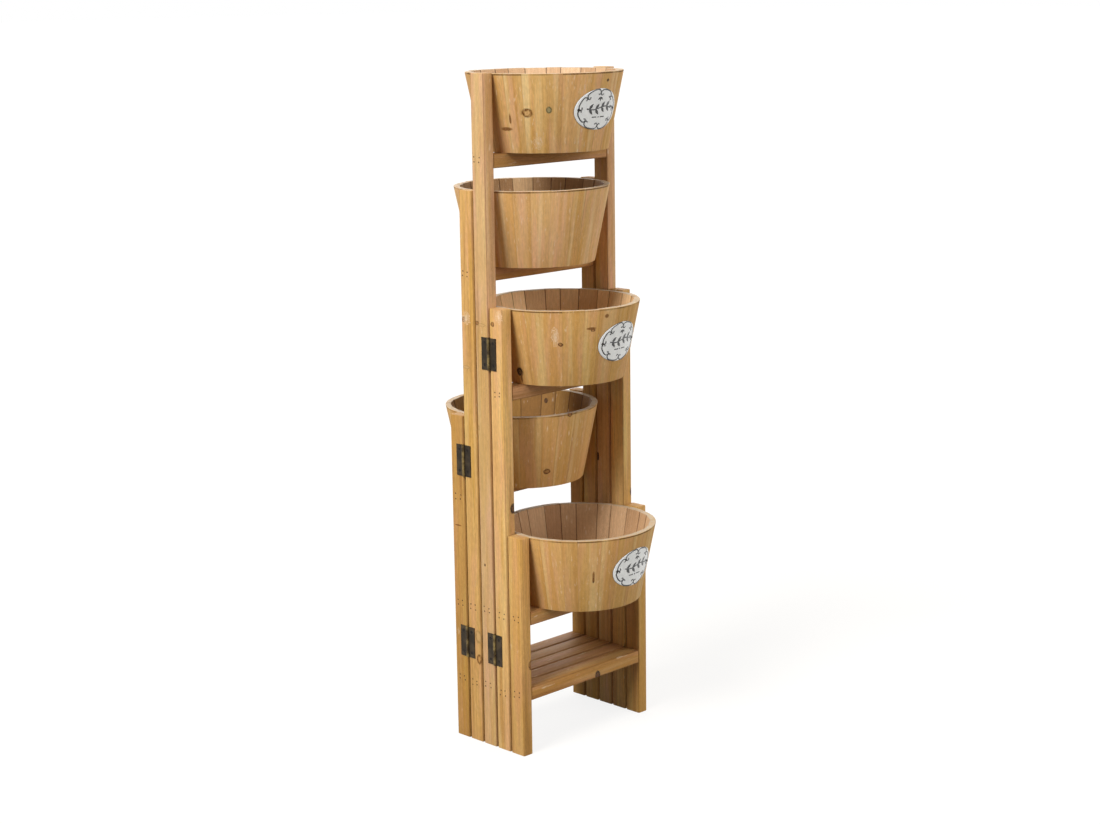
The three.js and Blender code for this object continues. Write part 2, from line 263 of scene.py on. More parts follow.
def pineMaterial(name, look, knots=()):
    material, tree = newMaterial(name)
    grain = pineGrain
    place = addNode(tree, "Attribute", {"attribute_name": "boardPlace"}).outputs["Vector"]
    seed = addNode(tree, "Attribute", {"attribute_name": "boardSeed"}).outputs["Fac"]
    edge = addNode(tree, "Attribute", {"attribute_name": "boardEdge"}).outputs["Fac"]
    spot = addNode(tree, "TexCoord")
    dice = addNode(tree, "TexWhiteNoise", {"noise_dimensions": "1D"}, {"W": seed}).outputs["Color"]
    toneDice, hueDice, rawDice = addNode(tree, "SeparateColor", {}, {"Color": dice}).outputs
    sawn = addNode(
        tree, "VectorMath", {"operation": "MULTIPLY_ADD"},
        {0: dice, 1: grain["pithReach"], 2: grain["pithNearest"]},
    )
    log = addNode(tree, "VectorMath", {"operation": "ADD"}, {0: place, 1: sawn})
    noises = {}
    scuff = (look["scuffScale"], grain["scuffDetail"])
    for part, (scale, detail) in dict(grain["noises"], scuff=scuff).items():
        source = spot.outputs["Object"] if part == "ragged" else log
        mapping = addNode(tree, "Mapping", {}, {"Vector": source, "Scale": scale})
        noises[part] = addNode(tree, "TexNoise", {}, {"Vector": mapping, "Scale": 1.0, "Detail": detail})
    fibre, patch, cloud, ragged = (noises[part] for part in ("fibre", "patch", "cloud", "ragged"))

    # Growth rings, counted out from the pith.
    bent = log
    for part in ("sway", "waver"):
        bent = addNode(
            tree, "VectorMath", {"operation": "MULTIPLY_ADD"},
            {0: noises[part].outputs["Color"], 1: grain[part + "Amount"], 2: bent},
        )
    ringsInMetre = 1 / grain["ringWidth"]
    across = addNode(
        tree, "VectorMath", {"operation": "MULTIPLY"}, {0: bent, 1: (ringsInMetre, ringsInMetre, 0)}
    )
    rings = addNode(tree, "VectorMath", {"operation": "LENGTH"}, {0: across}).outputs["Value"]
    yearNoise = {"W": rings, "Scale": grain["yearScale"], "Detail": 1.0}
    years = addNode(tree, "TexNoise", {"noise_dimensions": "1D"}, yearNoise)
    rings = addNode(
        tree, "Math", {"operation": "MULTIPLY_ADD"}, {0: years, 1: grain["ringUneven"], 2: rings}
    )

    # Knots: a few strewn by chance, and the ones that show in the photograph.
    raggedness = addNode(tree, "Math", {"operation": "SUBTRACT"}, {0: ragged, 1: 0.5})
    outlines = []
    for distance, kind in knotDistances(tree, look, knots, log, spot.outputs["Object"]):
        outline = addNode(
            tree, "Math", {"operation": "MULTIPLY_ADD"}, {0: raggedness, 1: kind["ragged"], 2: distance}
        )
        outlines.append((outline, kind))
        if kind["bend"]:
            near, far = grain["knotBendReach"]
            bend = addNode(
                tree, "MapRange", {"interpolation_type": eased},
                {"Value": outline, "From Min": near, "From Max": far, "To Min": kind["bend"], "To Max": 0.0},
            )
            rings = addNode(tree, "Math", {"operation": "ADD"}, {0: rings, 1: bend})

    # From ring position to colour.
    inRing = addNode(tree, "Math", {"operation": "FRACT"}, {0: rings})
    lateWood = 1.0
    for (low, high), start, end in ((grain["ringRise"], 0.0, 1.0), (grain["ringFall"], 1.0, 0.0)):
        step = addNode(
            tree, "MapRange", {"interpolation_type": eased},
            {"Value": inRing, "From Min": low, "From Max": high, "To Min": start, "To Max": end},
        )
        lateWood = addNode(tree, "Math", {"operation": "MULTIPLY"}, {0: step, 1: lateWood})
    ringSteps = [(straight, lateWood, 0.0, 1.0, 0.0, look["ringDepth"])]
    colour = layOver(tree, linear(look["early"]), linear(look["late"]), ringSteps)
    bandPale, bandGold, bandDark = addNode(
        tree, "SeparateColor", {}, {"Color": noises["band"].outputs["Color"]}
    ).outputs
    for part, source in (("pink", patch), ("pale", bandPale), ("gold", bandGold), ("streak", bandDark)):
        steps = [(eased, source, *grain[part + "From"], 0.0, look[part + "Depth"])]
        colour = layOver(tree, colour, linear(look[part]), steps)
    colour = layOver(
        tree, colour, linear(look["late"]), [(eased, cloud, *grain["dullFrom"], 0.0, grain["dullDepth"])]
    )
    placePart = addNode(tree, "SeparateXYZ", {}, {0: place})
    depth, height = placePart.outputs[1], placePart.outputs[2]
    if "halfSize" in look:  # painted shade along the rounded edges and gaps, with the stain that gathers there
        shares = []
        for axis, half in enumerate(look["halfSize"]):
            off = addNode(tree, "Math", {"operation": "ABSOLUTE"}, {0: placePart.outputs[axis]})
            shares.append(addNode(tree, "Math", {"operation": "DIVIDE"}, {0: off, 1: half}))
        nearEdge = addNode(tree, "Math", {"operation": "MINIMUM"}, {0: shares[0], 1: shares[1]})
        frayed = addNode(
            tree, "Math", {"operation": "MULTIPLY_ADD"}, {0: patch, 1: grain["edgeShadeWaver"], 2: nearEdge}
        )
        steps = [(eased, frayed, *grain["edgeShadeFrom"], 0.0, look["edgeShadeDepth"])]
        colour = layOver(tree, colour, linear(look["edgeShadeAndStain"]), steps)
        if "narrowTintAndShade" in look:  # the narrow faces get their own tint: partly stain that took otherwise, partly painted shade
            steps = [(eased, shares[0], *grain["narrowFrom"], 0.0, 1.0)]
            colour = layOver(tree, colour, linear(look["narrowTintAndShade"]), steps, "MULTIPLY")
    steps = [(straight, hueDice, 0.0, 1.0, 0.0, look["hueDepth"])]
    colour = layOver(tree, colour, linear(look["pink"]), steps)
    colour = layOver(tree, colour, linear(look["stain"]), [], "MULTIPLY")

    # The raw inside of a tub, under a tint that is painted shade.
    isRaw = 0.0
    if "rawEarly" in look:
        raw = layOver(tree, linear(look["rawEarly"]), linear(look["rawLate"]), ringSteps)
        raw = layOver(tree, raw, linear(look["rawDark"]), [(straight, rawDice, 0.0, 1.0, 0.0, 1.0)])
        raw = layOver(tree, raw, linear(look["rawTintAndShade"]), [], "MULTIPLY")
        isRaw = addNode(
            tree, "MapRange", {"interpolation_type": eased},
            {"Value": depth, "From Min": look["rawFrom"], "From Max": look["rawFrom"] + grain["rawBlend"]},
        )
        colour = layOver(tree, colour, raw, [(straight, isRaw, 0.0, 1.0, 0.0, 1.0)])

    # Lighter and darker fibres, specks and boards.
    for source, low, high, dark, light in (
        (fibre, 0.25, 0.75, 1 - look["fibreDepth"], 1 + look["fibreDepth"] * 0.8),
        (noises["speck"], 0.3, 0.7, 0.90, 1.08),
        (toneDice, 0.0, 1.0, look["toneLow"], look["toneHigh"]),
    ):
        tone = addNode(
            tree, "MapRange", {},
            {"Value": source, "From Min": low, "From Max": high, "To Min": dark, "To Max": light},
        )
        colour = addNode(tree, "VectorMath", {"operation": "SCALE"}, {0: colour, "Scale": tone})
    steps = [(eased, noises["scuff"], *look["scuffFrom"], 0.0, look["scuffDepth"])]
    colour = layOver(tree, colour, linear(look["scuff"]), steps)
    if "endColour" in look:  # sawn ends, worn unevenly
        facing = addNode(tree, "SeparateXYZ", {}, {0: spot.outputs["Normal"]})
        upright = addNode(tree, "Math", {"operation": "ABSOLUTE"}, {0: facing.outputs[2]})
        steps = [
            (eased, upright, *grain["endFrom"], 0.0, look["endDepth"]),
            (straight, ragged, 0.35, 0.6, 0.45, 1.0),
        ]
        colour = layOver(tree, colour, linear(look["endColour"]), steps)
    if "rimLine" in look:  # a dark line just under the rim, broken in places
        line, strength = look["rimLine"], look["rimLineDepth"]
        steps = [
            (eased, height, line - 0.0014, line, 0.0, 1.0),
            (eased, height, line + 0.0010, line + 0.0020, 1.0, 0.0),
            (eased, cloud, 0.35, 0.58, 0.15 * strength, strength),
            (eased, depth, 0.0015, 0.0025, 1.0, 0.0),
        ]
        colour = layOver(tree, colour, linear(look["joint"]), steps)
    for outline, kind in outlines:
        colour = drawKnot(tree, colour, outline, kind, ragged)

    # Grime in the joints: planed away outside, left inside, and not the same at every board.
    steps = [
        (eased, edge, 0.80, 0.95, 0.0, 1.0),
        (straight, isRaw, 0.0, 1.0, look["jointDepth"], look["rawJointDepth"]),
        (straight, rawDice, 0.0, 1.0, 0.60, 1.0),
    ]
    colour = layOver(tree, colour, linear(look["joint"]), steps)

    relief = addNode(tree, "Math", {"operation": "MULTIPLY_ADD"}, {0: lateWood, 1: 0.5, 2: fibre})
    bump = {"Height": relief, "Strength": 0.35, "Distance": 0.0004}
    finishMaterial(tree, colour, fibre, grain["roughness"], bump, {"IOR": 1.5, "Specular IOR Level": 0.2})
    return material


# Planed pine under a thin honey stain: warm, barely glossy, with a few small knots.
honeyPine = {
    "early": "#DDB47F",
    "late": "#B27C43",
    "ringDepth": 0.28,
    "pink": "#DFB08C",
    "pinkDepth": 0.90,
    "pale": "#E3C68E",
    "paleDepth": 0.70,
    "gold": "#CDA052",
    "goldDepth": 0.70,
    "streak": "#A06C38",
    "streakDepth": 0.55,
    "stain": "#FFFFFF",
    "edgeShadeAndStain": "#7C5527",  # painted shade along the edges, partly stain gathered there
    "hueDepth": 0.25,
    "toneLow": 0.90,
    "toneHigh": 1.04,
    "fibreDepth": 0.18,
    "knotShare": 0.16,
    "knotSmall": 0.05,
    "knotLarge": 0.10,
    "joint": "#4A2F17",
    "jointDepth": 0.0,
    "rawJointDepth": 0.0,
    "scuff": "#EBD9BC",
    "scuffDepth": 0.40,
    "scuffScale": (110.0, 110.0, 34.0),  # scuffs 9 mm wide and 30 mm long
    "scuffFrom": (0.69, 0.78),
}
postLook = dict(honeyPine, endColour="#B58A57", endDepth=0.45, halfSize=(0.0165, 0.011), edgeShadeDepth=0.6)
rungLook = dict(
    honeyPine, early="#D2A671", late="#A97642", stain="#E4D3B6", streakDepth=0.80, toneLow=0.80,
    toneHigh=0.92, halfSize=(0.016, 0.012), edgeShadeDepth=0.5, scuffDepth=0.50,
    scuffScale=(150.0, 150.0, 26.0), scuffFrom=(0.64, 0.74),
)
# Staves are turned outside and left raw, flat and pinkish inside. The rim is end grain, paler.
staveLook = dict(
    honeyPine, early="#D3A96B", late="#A97539", gold="#C8964A", pink="#DBA981", pale="#E3C692",
    ringDepth=0.12, pinkDepth=0.75, paleDepth=0.75, streakDepth=0.25, fibreDepth=0.11, toneLow=0.97,
    toneHigh=1.09, rawEarly="#EBC9A2", rawLate="#C49C78", rawDark="#B78F69", rawFrom=0.0092,
    endColour="#B6AD9B", endDepth=0.78, knotShare=0.10, knotSmall=0.04, knotLarge=0.07, jointDepth=0.12,
    rawJointDepth=1.0, scuffDepth=0.45, scuffScale=(300.0, 300.0, 60.0), scuffFrom=(0.62, 0.74),
    rimLine=0.1332, rimLineDepth=0.85,
)
floorLook = dict(honeyPine, early="#C9A47C", late="#A27A55", pink="#C79C7C", jointDepth=0.5)

# How the stain took, frame by frame, on all the posts and on the tubs outside. The tint on the posts'
# narrow faces is partly stain and partly painted shade; the tint on the tubs' raw insides is painted shade.
frameStain = {1: "#EAE0B8", 2: "#FAF5DA", 3: "#FFFFF6", 4: "#F4EDC8", 5: "#DDD0A2"}
frameNarrowTintAndShade = {1: "#FFFFFF", 2: "#FCFFFA", 3: "#F6ECF4", 4: "#FFFFFF", 5: "#FFFFFF"}
tubStain = {1: "#EEEAD6", 2: "#F2EDD8", 3: "#FFFDF4", 4: "#FFFFFF", 5: "#EFE8D4"}
# painted shade on the raw insides, darkest at tub 5
tubInsideTintAndShade = {1: "#DFD8CE", 2: "#FFFCEC", 3: "#FFFFFF", 4: "#CEC7B8", 5: "#AE9A68"}

# The knots and marks that show: kind, half width, how tall for its width, and where its middle is.
knotsShown = {
    "frame1_post": [("brown", 0.0060, 1.3, (-0.1405, -0.0872, 0.1660))],
    "frame2_post": [
        ("dark", 0.0016, 1.6, (-0.1620, -0.0146, 0.5061)),
        ("dark", 0.0038, 1.8, (0.1610, -0.0500, 0.4207)),
        ("dark", 0.0066, 1.2, (-0.1435, -0.0520, 0.4464)),
        ("brown", 0.0044, 0.8, (-0.1620, -0.0275, 0.7729)),
        ("pale", 0.0070, 1.6, (-0.1620, -0.0430, 0.7868)),
    ],
    "frame3_post": [
        ("dark", 0.0034, 2.0, (0.1400, 0.0140, 0.4814)),
        ("brown", 0.0040, 0.8, (-0.1620, 0.0116, 0.7714)),
        ("faded", 0.0080, 0.3, (-0.1620, 0.0000, 0.7690)),
        ("dark", 0.0016, 1.4, (-0.1620, 0.0047, 0.3366)),
        ("faded", 0.0020, 1.8, (-0.1620, 0.0125, 0.5848)),
    ],
    "frame4_post": [
        ("brown", 0.0042, 1.0, (-0.1620, 0.0460, 0.7746)),
        ("pale", 0.0090, 1.2, (-0.1620, 0.0390, 0.7770)),
        ("faded", 0.0080, 0.3, (-0.1620, 0.0420, 0.6900)),
        ("faded", 0.0070, 1.5, (-0.1620, 0.0260, 0.1980)),
        ("ring", 0.0050, 1.5, (-0.1620, 0.0250, 0.1560)),
    ],
    "frame5_post": [("crack", 0.0070, 0.16, (-0.1620, 0.0730, 0.3979))],
    "rung": [("dark", 0.0055, 1.3, (0.0290, -0.0870, 0.1040))],
    "tub1": [
        ("dark", 0.0016, 3.4, (-0.0694, -0.1734, 0.3230)),
        ("crack", 0.0017, 11.0, (-0.0700, -0.1740, 0.3310)),
    ],
    "tub2": [
        ("brown", 0.0038, 0.8, (-0.0921, -0.1225, 0.7390)),
        ("pale", 0.0062, 3.0, (-0.0985, -0.1160, 0.7540)),
        ("dark", 0.0056, 1.2, (-0.1153, -0.0453, 0.6857)),
        ("crack", 0.0016, 6.0, (-0.1130, -0.0470, 0.6740)),
        ("crack", 0.0068, 0.28, (-0.0512, -0.1573, 0.7655)),
        ("brown", 0.0040, 0.5, (-0.0480, -0.1585, 0.7620)),
        ("crack", 0.0032, 0.9, (-0.0252, -0.1709, 0.7854)),
    ],
    "tub3": [
        ("ring", 0.0078, 0.8, (-0.1072, -0.0652, 1.1324)),
        ("grey", 0.0042, 1.2, (-0.0839, -0.0946, 1.1371)),
        ("pale", 0.0070, 1.6, (-0.0893, -0.0724, 1.0811)),
        ("crack", 0.0085, 0.3, (-0.1172, -0.0250, 1.1045)),
        ("crack", 0.0016, 14.0, (-0.1180, -0.0350, 1.1210)),
        ("dark", 0.0030, 0.7, (0.0194, -0.1347, 1.1838)),
    ],
    "tub4": [],
    "tub5": [
        ("brown", 0.0056, 0.75, (-0.0454, -0.0373, 0.4931)),
        ("brown", 0.0045, 0.8, (-0.0145, -0.0669, 0.5962)),
        ("dark", 0.0030, 1.4, (0.1138, 0.1219, 0.5770)),
    ],
}


def metalMaterial(name, look):
    material, tree = newMaterial(name)
    place = addNode(tree, "TexCoord").outputs["Object"]
    mottle = addNode(tree, "TexNoise", {}, {"Vector": place, "Scale": 1 / look["mottleSize"], "Detail": 4.0})
    colour = layOver(
        tree, linear(look["colour"]), linear(look["worn"]), [(eased, mottle, 0.42, 0.68, 0.0, 1.0)]
    )
    roughness = (look["roughness"] + 0.08, look["roughness"] - 0.08)
    bump = {"Height": mottle, "Strength": 0.2, "Distance": 0.0002}
    finishMaterial(tree, colour, mottle, roughness, bump, {"Metallic": look["metallic"]})
    return material


# Pressed steel with an antique bronze plating: dark brown, dull, rubbed to brass on the knuckles.
bronzedSteel = metalMaterial("antiqueBronzedSteel", {
    "colour": "#2C2316", "worn": "#453825", "mottleSize": 0.020, "roughness": 0.48, "metallic": 0.6,
})
rubbedBrass = metalMaterial("rubbedBrassPlate", {
    "colour": "#3F311D", "worn": "#8A7547", "mottleSize": 0.016, "roughness": 0.40, "metallic": 0.75,
})
# Blackened screws catch a little light, and cheap wire brads have gone to a dull rust.
blackScrewSteel = metalMaterial("blackenedScrewSteel", {
    "colour": "#16110D", "worn": "#2C221A", "mottleSize": 0.002, "roughness": 0.45, "metallic": 0.7,
})
rustyBradSteel = metalMaterial("rustyBradSteel", {
    "colour": "#200F05", "worn": "#3C1E0B", "mottleSize": 0.001, "roughness": 0.85, "metallic": 0.1,
})
# Where the plates' enamel ends, a thin line of dark steel shows.
plateEdge = metalMaterial("bareEnamelEdge", {
    "colour": "#2B211A", "worn": "#4A3626", "mottleSize": 0.002, "roughness": 0.5, "metallic": 0.4,
})

enamel = {
    "cloudScale": 90.0,  # clouds of 11 mm in the glaze
    "roughness": (0.18, 0.30),
    "coat": 0.3,
    "coatRoughness": 0.12,
}


def enamelMaterial(name, colour, clouded):
    material, tree = newMaterial(name)
    place = addNode(tree, "TexCoord").outputs["Object"]
    cloud = addNode(tree, "TexNoise", {}, {"Vector": place, "Scale": enamel["cloudScale"], "Detail": 3.0})
    mixed = layOver(tree, linear(colour), linear(clouded), [(straight, cloud, 0.3, 0.7, 0.0, 1.0)])
    bump = {"Height": cloud, "Strength": 0.08, "Distance": 0.0003}
    coat = {"IOR": 1.52, "Coat Weight": enamel["coat"], "Coat Roughness": enamel["coatRoughness"]}
    finishMaterial(tree, mixed, cloud, enamel["roughness"], bump, coat)
    return material


# Fired enamel on thin steel: glassy white with a faint grey cloud, and black line work.
whiteEnamel = enamelMaterial("whiteFiredEnamel", "#F4F5F3", "#EAECEC")
blackEnamel = enamelMaterial("blackFiredEnamel", "#191919", "#2A2A2C")
print("materials made")


def meshOf(bm, name):
    mesh = bpy.data.meshes.new(name)
    bm.to_mesh(mesh)
    bm.free()
    return mesh


def finishPiece(bm, name, materials, body, slot, replaced=(), sharpAngle=32):
    mesh = meshOf(bm, name)
    for material in materials:
        mesh.materials.append(material)
    mesh.shade_smooth()
    mesh.set_sharp_from_angle(angle=math.radians(sharpAngle))
    piece = addObject(name, mesh)
    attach(piece, body)
    if replaced:
        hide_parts(*replaced)


def join(bm, part):
    mesh = meshOf(part, "part")
    bm.from_mesh(mesh)
    bpy.data.meshes.remove(mesh)


def whole(bm):
    return bm.verts[:] + bm.edges[:] + bm.faces[:]


def vertsOf(made):
    return [item for item in made["geom"] if isinstance(item, bmesh.types.BMVert)]


def easeOff(bm, geom, offset, segments, affect="EDGES"):
    bmesh.ops.bevel(bm, geom=geom, offset=offset, segments=segments, profile=0.5, affect=affect, material=-1)


# Turns a section of radius and height pairs once round the Z axis.
def turnedPiece(section, steps, closed=False):
    bm = bmesh.new()
    verts = [bm.verts.new((radius, 0, z)) for radius, z in section]
    following = verts[1:] + verts[:1] if closed else verts[1:]
    edges = [bm.edges.new(pair) for pair in zip(verts, following)]
    bmesh.ops.spin(
        bm, geom=verts + edges, cent=(0, 0, 0), axis=(0, 0, 1), angle=2 * math.pi, steps=steps,
        use_merge=True, use_duplicate=False,
    )
    bmesh.ops.remove_doubles(bm, verts=bm.verts, dist=weldDistance)
    bmesh.ops.recalc_face_normals(bm, faces=bm.faces)
    return bm


# Every board carries its own place in the log, so the grain runs along it.
def markBoard(bm, seed, placeOf, edgeOf=lambda co: 0.0):
    places = bm.verts.layers.float_vector.new("boardPlace")
    seeds = bm.verts.layers.float.new("boardSeed")
    edges = bm.verts.layers.float.new("boardEdge")
    for vert in bm.verts:
        vert[places] = placeOf(vert.co)
        vert[seeds] = seed
        vert[edges] = edgeOf(vert.co)


def rungsOf(number):
    return [node for node in sorted(bodyOf) if node.startswith(f"frame{number}_") and node.endswith("_rung")]


timber = {
    "postRounding": 0.003,
    "rungRounding": 0.0013,
    "roundingSteps": 5,
    "endEase": 0.0009,
    "endSteps": 2,
    "postSeeds": {"left": 0.37, "right": 0.53},  # which piece of the log each is cut from
    "rungSeed": 11.3,
}


def makeBoard(node, grainAxis, rounding, material, slot, seed):
    low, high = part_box(node)
    middle = (low + high) / 2
    bm = bmesh.new()
    bmesh.ops.create_cube(bm, size=1.0)
    bmesh.ops.scale(bm, vec=high - low, verts=bm.verts)
    wide, narrow = sorted({0, 1, 2} - {grainAxis}, key=lambda axis: low[axis] - high[axis])
    lengthwise = [e for e in bm.edges if abs((e.verts[0].co - e.verts[1].co)[grainAxis]) > rounding]
    easeOff(bm, lengthwise, rounding, timber["roundingSteps"])
    ends = [f for f in bm.faces if abs(f.normal[grainAxis]) > 0.9]
    endEdges = list({edge for face in ends for edge in face.edges})
    easeOff(bm, endEdges, timber["endEase"], timber["endSteps"])
    markBoard(bm, seed, lambda co: (co[wide], co[narrow], co[grainAxis] + middle[grainAxis]))
    bmesh.ops.translate(bm, vec=middle, verts=bm.verts)
    finishPiece(bm, node.replace("_", "Wood_", 1), [material], bodyOf[node], slot, [node])


rungPine = pineMaterial("honeyPineRungs", rungLook, knotsShown["rung"])
for number in frameNumbers:
    look = dict(postLook, stain=frameStain[number], narrowTintAndShade=frameNarrowTintAndShade[number])
    postPine = pineMaterial(f"honeyPinePosts{number}", look, knotsShown[f"frame{number}_post"])
    for side, seed in timber["postSeeds"].items():
        node = f"frame{number}_{side}_post"
        makeBoard(node, 2, timber["postRounding"], postPine, "post_pine", seed + number)
    for place, node in enumerate(rungsOf(number)):
        seed = timber["rungSeed"] + number * 3 + place
        makeBoard(node, 0, timber["rungRounding"], rungPine, "rung_pine", seed)
print("posts and rungs made")

tub = {
    "sideGap": 0.0008,  # rim to its posts
    "staveCount": 24,
    "jointSway": 0.12,  # how far a joint strays from even spacing, in stave widths
    "jointBeat": 2.4,  # what turns the joints' numbers, and then the tubs', into uneven strays
    "tubBeat": 1.7,
    "taper": 0.028,
    "wall": 0.010,
    "arcSteps": 6,
    "rimEase": 0.0010,
    "footEase": 0.0004,
    "easeSteps": 3,
    "jointEase": 0.00015,
    "jointGrime": 0.0012,  # how far from a joint the grime lies
    "rimWaver": 0.0007,
    "wallWaver": 0.0006,
    "flatFrom": 0.75,  # share of the wall from which a stave turns flat towards the inside
    "crozeFoot": 0.0057,
    "crozeTop": 0.0123,
    "crozeDepth": 0.003,
}
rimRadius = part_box("frame1_right_post")[0].x - tub["sideGap"]


# Where a tub stands: the middle of its foot, and its height.
def tubStand(number):
    low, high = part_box(f"tub{number}_wall")
    return Vector((0, (low.y + high.y) / 2, low.z)), high.z - low.z


def staveJoints(tubIndex):
    count, beat, tubBeat = tub["staveCount"], tub["jointBeat"], tub["tubBeat"]
    strays = [tub["jointSway"] * math.sin(beat * i + tubBeat * tubIndex) for i in range(count)]
    joints = [2 * math.pi * (i + stray) / count for i, stray in enumerate(strays)]
    return joints + [joints[0] + 2 * math.pi]


def outerRadius(height, tubHeight):
    return rimRadius - tub["taper"] * (1 - height / tubHeight)


def angleOf(co):
    return math.atan2(co.y, co.x)


def makeStave(halfAngle, tubHeight, seed, dice):
    wall = tub["wall"] + dice.uniform(-1, 1) * tub["wallWaver"]
    top = tubHeight - dice.random() * tub["rimWaver"]
    foot, head = tub["crozeFoot"], tub["crozeTop"]
    crozeRadius = outerRadius((foot + head) / 2, tubHeight) - tub["wall"] + tub["crozeDepth"]
    outline = [
        (outerRadius(top, tubHeight), top), (outerRadius(top, tubHeight) - wall, top),
        (outerRadius(head, tubHeight) - wall, head), (crozeRadius, head),
        (crozeRadius, foot), (outerRadius(foot, tubHeight) - wall, foot),
        (outerRadius(0, tubHeight) - wall, 0), (outerRadius(0, tubHeight), 0),
    ]
    bm = bmesh.new()
    corners = [bm.verts.new((radius, 0, height)) for radius, height in outline]
    bm.faces.new(corners)
    easeOff(bm, corners[:2], tub["rimEase"], tub["easeSteps"], "VERTICES")
    easeOff(bm, corners[-2:], tub["footEase"], tub["easeSteps"], "VERTICES")
    bmesh.ops.rotate(bm, cent=(0, 0, 0), matrix=Matrix.Rotation(-halfAngle, 3, "Z"), verts=bm.verts)
    bmesh.ops.spin(
        bm, geom=whole(bm), cent=(0, 0, 0), axis=(0, 0, 1), angle=2 * halfAngle, steps=tub["arcSteps"],
        use_duplicate=False,
    )
    bmesh.ops.recalc_face_normals(bm, faces=bm.faces)
    caps = [f for f in bm.faces if abs(abs(angleOf(f.calc_center_median())) - halfAngle) < 1e-4]
    easeOff(bm, list({edge for face in caps for edge in face.edges}), tub["jointEase"], 1)

    def placeOf(co):
        reach = math.hypot(co.x, co.y)
        return reach * angleOf(co), outerRadius(co.z, tubHeight) - reach + tub["wall"] - wall, co.z

    def edgeOf(co):
        return float((halfAngle - abs(angleOf(co))) * rimRadius < tub["jointGrime"])

    markBoard(bm, seed, placeOf, edgeOf)
    for vert in bm.verts:  # flatten the inner face between its joints
        depth = (outerRadius(vert.co.z, tubHeight) - math.hypot(vert.co.x, vert.co.y)) / wall
        flat = min(max((depth - tub["flatFrom"]) / (1 - tub["flatFrom"]), 0.0), 1.0)
        shrink = 1 + flat * (math.cos(halfAngle) / math.cos(angleOf(vert.co)) - 1)
        vert.co.x *= shrink
        vert.co.y *= shrink
    return bm


def makeTub(number):
    node = f"tub{number}_wall"
    stand, tubHeight = tubStand(number)
    dice = random.Random(number)
    joints = staveJoints(number - 1)
    bm = bmesh.new()
    for index, (start, end) in enumerate(zip(joints, joints[1:])):
        stave = makeStave((end - start) / 2, tubHeight, number * 40 + index + 0.5, dice)
        turn = Matrix.Rotation((start + end) / 2, 3, "Z")
        bmesh.ops.rotate(stave, cent=(0, 0, 0), matrix=turn, verts=stave.verts)
        join(bm, stave)
    bmesh.ops.translate(bm, vec=stand, verts=bm.verts)
    knots = []
    for kind, radius, tall, at in knotsShown[f"tub{number}"]:
        outward = Vector(at) - stand
        outward.z = 0
        outward.z = -outward.length * tub["taper"] / tubHeight
        knots.append((kind, radius, tall, at, outward))
    look = dict(staveLook, stain=tubStain[number], rawTintAndShade=tubInsideTintAndShade[number])
    pine = pineMaterial(f"stainedPineStaves{number}", look, knots)
    finishPiece(bm, f"tub{number}_staves", [pine], bodyOf[node], "stave_pine", [node], sharpAngle=25)


for number in frameNumbers:
    makeTub(number)
print("tubs made")

tubFloor = {
    "boards": 3,
    "tongue": 0.006,
    "shoulderGap": 0.0012,
    "rimGap": 0.0008,
    "segments": 96,
    "jointEase": 0.0006,
    "jointGrime": 0.0009,
    "seed": 300,
}
floorPine = pineMaterial("rawPineTubFloors", floorLook)


def makeTubFloor(number):
    node = f"tub{number}_floor"
    low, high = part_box(node)
    rim = (high.x - low.x) / 2 - tubFloor["rimGap"]
    shoulder = rim - tub["crozeDepth"] - tubFloor["shoulderGap"]
    thick = high.z - low.z
    width = 2 * rim / tubFloor["boards"]
    bm = bmesh.new()
    for index in range(tubFloor["boards"]):
        board = bmesh.new()
        bmesh.ops.create_circle(board, cap_ends=True, radius=rim, segments=tubFloor["segments"])
        tongue = bmesh.ops.extrude_face_region(board, geom=board.faces[:])
        bmesh.ops.translate(board, vec=(0, 0, tubFloor["tongue"]), verts=vertsOf(tongue))
        top = [item for item in tongue["geom"] if isinstance(item, bmesh.types.BMFace)]
        bmesh.ops.inset_individual(board, faces=top, thickness=rim - shoulder)
        raised = bmesh.ops.extrude_face_region(board, geom=top)
        bmesh.ops.translate(board, vec=(0, 0, thick - tubFloor["tongue"]), verts=vertsOf(raised))
        bmesh.ops.delete(board, geom=top, context="FACES_ONLY")
        start, end = -rim + index * width, -rim + (index + 1) * width
        for edge, outward in ((start, -1), (end, 1)):
            if abs(edge) < rim - weldDistance:
                cut = bmesh.ops.bisect_plane(
                    board, geom=whole(board), clear_outer=True,
                    plane_co=(edge, 0, 0), plane_no=(outward, 0, 0),
                )
                sawn = [item for item in cut["geom_cut"] if isinstance(item, bmesh.types.BMEdge)]
                bmesh.ops.holes_fill(board, edges=sawn, sides=0)
        bmesh.ops.recalc_face_normals(board, faces=board.faces)
        topEdges = [
            e for e in board.edges
            if len(e.link_faces) == 2 and e.calc_face_angle(0) > 0.7
            and min(v.co.z for v in e.verts) > thick - 1e-5
        ]
        easeOff(board, topEdges, tubFloor["jointEase"], 2)
        centre = (start + end) / 2
        markBoard(
            board, tubFloor["seed"] + number * 5 + index, lambda co: (co.x - centre, co.z, co.y + number),
            lambda co: float(min(abs(co.x - start), abs(co.x - end)) < tubFloor["jointGrime"]),
        )
        join(bm, board)
    bmesh.ops.translate(bm, vec=((low.x + high.x) / 2, (low.y + high.y) / 2, low.z), verts=bm.verts)
    finishPiece(bm, f"tub{number}_floorBoards", [floorPine], bodyOf[node], "tub_floor_pine", [node])


for number in frameNumbers:
    makeTubFloor(number)
print("tub floors made")

